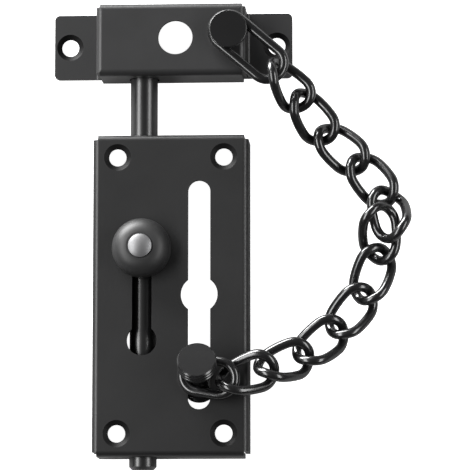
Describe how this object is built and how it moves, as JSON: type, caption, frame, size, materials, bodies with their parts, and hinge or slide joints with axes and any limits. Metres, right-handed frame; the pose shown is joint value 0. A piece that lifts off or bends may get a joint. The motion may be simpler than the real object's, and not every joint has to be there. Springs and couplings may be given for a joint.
{
  "type": "sliding door bolt with security chain",
  "caption": "Black pressed-steel sliding bolt with a domed knob and press button, a keyhole slot, a hat-shaped keeper and a security chain between keeper and slot.",
  "frame": {"origin": "midway between the keeper's two screw holes, on the plane that the door and its frame share", "axes": "+X across the plates, to the side where the chain hangs; +Y along the bolt, from the lock plate to the keeper and beyond; +Z out of the door's face"},
  "size_m": [0.112, 0.145, 0.026],
  "materials": {
    "black_paint": "satin",
    "black_gloss": "gloss",
    "silver": "satin",
    "spring_steel": "satin"
  },
  "bodies": {
    "fixed_parts": {"lock_plate": "black_paint", "keeper": "black_paint", "anchor_post": "black_paint", "anchor_washer": "spring_steel"},
    "bolt_and_knob": {"bolt": "black_gloss", "knob": "black_paint", "knob_neck": "black_paint", "button_spring": "spring_steel"},
    "button": {"press_button": "silver"},
    "anchor_ring": {"anchor_ring": "black_gloss"},
    "chain_link_01": {"chain_link_01": "black_gloss"},
    "chain_link_02": {"chain_link_02": "black_gloss"},
    "chain_link_03": {"chain_link_03": "black_gloss"},
    "chain_link_04": {"chain_link_04": "black_gloss"},
    "chain_link_05": {"chain_link_05": "black_gloss"},
    "chain_link_06": {"chain_link_06": "black_gloss"},
    "chain_link_07": {"chain_link_07": "black_gloss"},
    "chain_link_08": {"chain_link_08": "black_gloss"},
    "chain_link_09": {"chain_link_09": "black_gloss"},
    "chain_link_10": {"chain_link_10": "black_gloss"},
    "chain_link_11": {"chain_link_11": "black_gloss"},
    "slide_stud": {"slide_stud": "black_gloss"},
    "slide_ring": {"slide_ring": "black_gloss"}
  },
  "joints": [
    {"name": "bolt_slide", "type": "slide", "parent": "fixed_parts", "child": "bolt_and_knob", "axis": [0, -1, 0], "range_m": [0, 0.0284]},
    {"name": "button_press", "type": "slide", "parent": "bolt_and_knob", "child": "button", "axis": [0, 0, -1], "range_m": [0, 0.0018], "stiffness_N_per_m": 400, "springref_m": -0.001, "deforming": ["button_spring"]},
    {"name": "stud_slide", "type": "slide", "parent": "fixed_parts", "child": "slide_stud", "axis": [0, 1, 0], "range_m": [-0.0047, 0.059]},
    {"name": "anchor_ring_turn", "type": "hinge", "parent": "fixed_parts", "child": "anchor_ring", "pos_m": [0.0182, 0.002, 0.01585], "axis": [0, 0, 1], "range_deg": [-4.78, 48.5]},
    {"name": "chain_link_01_turn", "type": "hinge", "parent": "anchor_ring", "child": "chain_link_01", "pos_m": [0.03287, -0.01062, 0.01585], "axis": [0, 0, 1], "range_deg": [-15.33, 2.14]},
    {"name": "chain_link_02_turn", "type": "hinge", "parent": "chain_link_01", "child": "chain_link_02", "pos_m": [0.04008, -0.01886, 0.01064], "axis": [0, 0, 1], "range_deg": [-8.07, 1.56]},
    {"name": "chain_link_03_turn", "type": "hinge", "parent": "chain_link_02", "child": "chain_link_03", "pos_m": [0.0477, -0.02941, 0.00664], "axis": [0, 0, 1], "range_deg": [-23.78, 2.82]},
    {"name": "chain_link_04_turn", "type": "hinge", "parent": "chain_link_03", "child": "chain_link_04", "pos_m": [0.05801, -0.03825, 0.00593], "axis": [0, 0, 1], "range_deg": [-10.84, 1.78]},
    {"name": "chain_link_05_turn", "type": "hinge", "parent": "chain_link_04", "child": "chain_link_05", "pos_m": [0.06672, -0.04909, 0.00593], "axis": [0, 0, 1], "range_deg": [-7.42, 1.51]},
    {"name": "chain_link_06_turn", "type": "hinge", "parent": "chain_link_05", "child": "chain_link_06", "pos_m": [0.06663, -0.05734, 0.01082], "axis": [0, 0, 1], "range_deg": [-2.89, 1.15]},
    {"name": "chain_link_07_turn", "type": "hinge", "parent": "chain_link_06", "child": "chain_link_07", "pos_m": [0.06455, -0.06708, 0.00572], "axis": [0, 0, 1], "range_deg": [-3.13, 1.17]},
    {"name": "chain_link_08_turn", "type": "hinge", "parent": "chain_link_07", "child": "chain_link_08", "pos_m": [0.06006, -0.07953, 0.00591], "axis": [0, 0, 1], "range_deg": [-3.47, 1.2]},
    {"name": "chain_link_09_turn", "type": "hinge", "parent": "chain_link_08", "child": "chain_link_09", "pos_m": [0.05137, -0.09037, 0.00701], "axis": [0, 0, 1], "range_deg": [-10.84, 1.78]},
    {"name": "chain_link_10_turn", "type": "hinge", "parent": "chain_link_09", "child": "chain_link_10", "pos_m": [0.04139, -0.09872, 0.0105], "axis": [0, 0, 1], "range_deg": [-9.76, 1.7]},
    {"name": "chain_link_11_turn", "type": "hinge", "parent": "chain_link_10", "child": "chain_link_11", "pos_m": [0.0292, -0.10336, 0.0156], "axis": [0, 0, 1], "range_deg": [-18.31, 2.38]},
    {"name": "slide_ring_turn", "type": "hinge", "parent": "slide_stud", "child": "slide_ring", "pos_m": [0.0089, -0.10507, 0.01495], "axis": [0, 0, 1], "range_deg": [-28.15, 3.16]}
  ],
  "couplings": [
    {"joint": "anchor_ring_turn", "follows": "stud_slide", "rad_per_m": 14.05},
    {"joint": "chain_link_01_turn", "follows": "stud_slide", "rad_per_m": -4.24},
    {"joint": "chain_link_02_turn", "follows": "stud_slide", "rad_per_m": -2.09},
    {"joint": "chain_link_03_turn", "follows": "stud_slide", "rad_per_m": -6.74},
    {"joint": "chain_link_04_turn", "follows": "stud_slide", "rad_per_m": -2.91},
    {"joint": "chain_link_05_turn", "follows": "stud_slide", "rad_per_m": -1.9},
    {"joint": "chain_link_06_turn", "follows": "stud_slide", "rad_per_m": -0.56},
    {"joint": "chain_link_07_turn", "follows": "stud_slide", "rad_per_m": -0.63},
    {"joint": "chain_link_08_turn", "follows": "stud_slide", "rad_per_m": -0.73},
    {"joint": "chain_link_09_turn", "follows": "stud_slide", "rad_per_m": -2.91},
    {"joint": "chain_link_10_turn", "follows": "stud_slide", "rad_per_m": -2.59},
    {"joint": "chain_link_11_turn", "follows": "stud_slide", "rad_per_m": -5.12},
    {"joint": "slide_ring_turn", "follows": "stud_slide", "rad_per_m": -8.03}
  ]
}
